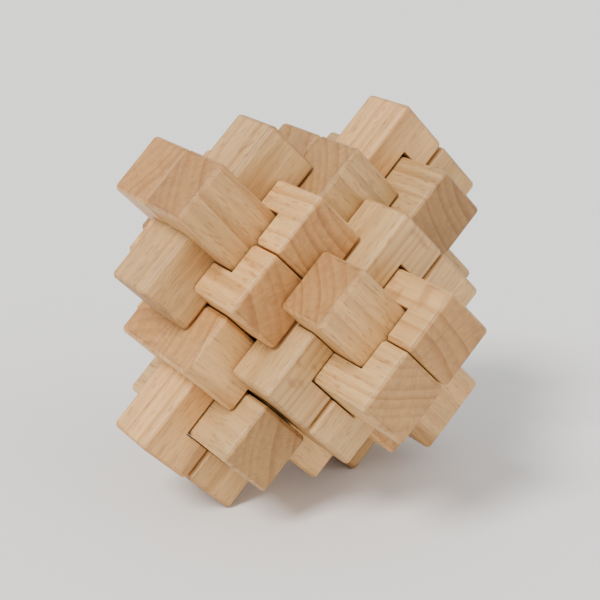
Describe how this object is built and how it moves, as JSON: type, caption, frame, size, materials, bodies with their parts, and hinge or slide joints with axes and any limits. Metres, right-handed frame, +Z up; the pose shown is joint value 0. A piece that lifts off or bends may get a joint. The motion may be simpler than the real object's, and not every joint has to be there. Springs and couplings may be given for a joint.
{
  "type": "wooden burr puzzle",
  "caption": "Interlocking burr puzzle of square notched wooden bars in three crossing directions, held together by plain locking bars that slide out.",
  "frame": {"origin": "on the floor under the middle of the puzzle as it stands on its two lower edges", "axes": "+Y along the level bars, front to back; +Z up; +X to the side that the rising bars climb towards. The puzzle's own two tilted directions lean 46.1 degrees about +Y."},
  "size_m": [0.07, 0.0756, 0.0687],
  "materials": {
    "long_bar_wood": "sanded beech-like hardwood, thin clear wax",
    "collar_wood": "sanded beech-like hardwood, thin clear wax",
    "locking_bar_wood": "sanded beech-like hardwood, thin clear wax, a little worn by sliding"
  },
  "bodies": {
    "core": {"long_bar_rising_left": "long_bar_wood", "long_bar_rising_right": "long_bar_wood", "long_bar_falling_front": "long_bar_wood", "long_bar_falling_back": "long_bar_wood", "long_bar_level_lower": "long_bar_wood", "long_bar_level_upper": "long_bar_wood", "collar_rising_left_front": "collar_wood", "collar_rising_left_back": "collar_wood", "collar_rising_right_front": "collar_wood", "collar_rising_right_back": "collar_wood", "collar_falling_front_lower": "collar_wood", "collar_falling_front_upper": "collar_wood", "collar_falling_back_lower": "collar_wood", "collar_falling_back_upper": "collar_wood", "collar_level_lower_left": "collar_wood", "collar_level_lower_right": "collar_wood", "collar_level_upper_left": "collar_wood", "collar_level_upper_right": "collar_wood"},
    "locking_bar_level_lower": {"locking_bar_level_lower": "locking_bar_wood"},
    "locking_bar_level_upper": {"locking_bar_level_upper": "locking_bar_wood"},
    "locking_bar_rising_left": {"locking_bar_rising_left": "locking_bar_wood"},
    "locking_bar_rising_right": {"locking_bar_rising_right": "locking_bar_wood"},
    "locking_bar_falling_front": {"locking_bar_falling_front": "locking_bar_wood"},
    "locking_bar_falling_back": {"locking_bar_falling_back": "locking_bar_wood"}
  },
  "joints": [
    {"name": "locking_bar_level_lower_slide", "type": "slide", "parent": "core", "child": "locking_bar_level_lower", "axis": [0, 1, 0], "range_m": [-0.042, 0.042]},
    {"name": "locking_bar_level_upper_slide", "type": "slide", "parent": "core", "child": "locking_bar_level_upper", "axis": [0, 1, 0], "range_m": [-0.042, 0.042]},
    {"name": "locking_bar_rising_left_slide", "type": "slide", "parent": "core", "child": "locking_bar_rising_left", "axis": [0.7205, 0, 0.6934], "range_m": [-0.042, 0.042]},
    {"name": "locking_bar_rising_right_slide", "type": "slide", "parent": "core", "child": "locking_bar_rising_right", "axis": [0.7205, 0, 0.6934], "range_m": [0, 0.042]},
    {"name": "locking_bar_falling_front_slide", "type": "slide", "parent": "core", "child": "locking_bar_falling_front", "axis": [-0.6934, 0, 0.7205], "range_m": [-0.023, 0.042]},
    {"name": "locking_bar_falling_back_slide", "type": "slide", "parent": "core", "child": "locking_bar_falling_back", "axis": [-0.6934, 0, 0.7205], "range_m": [-0.023, 0.042]}
  ]
}
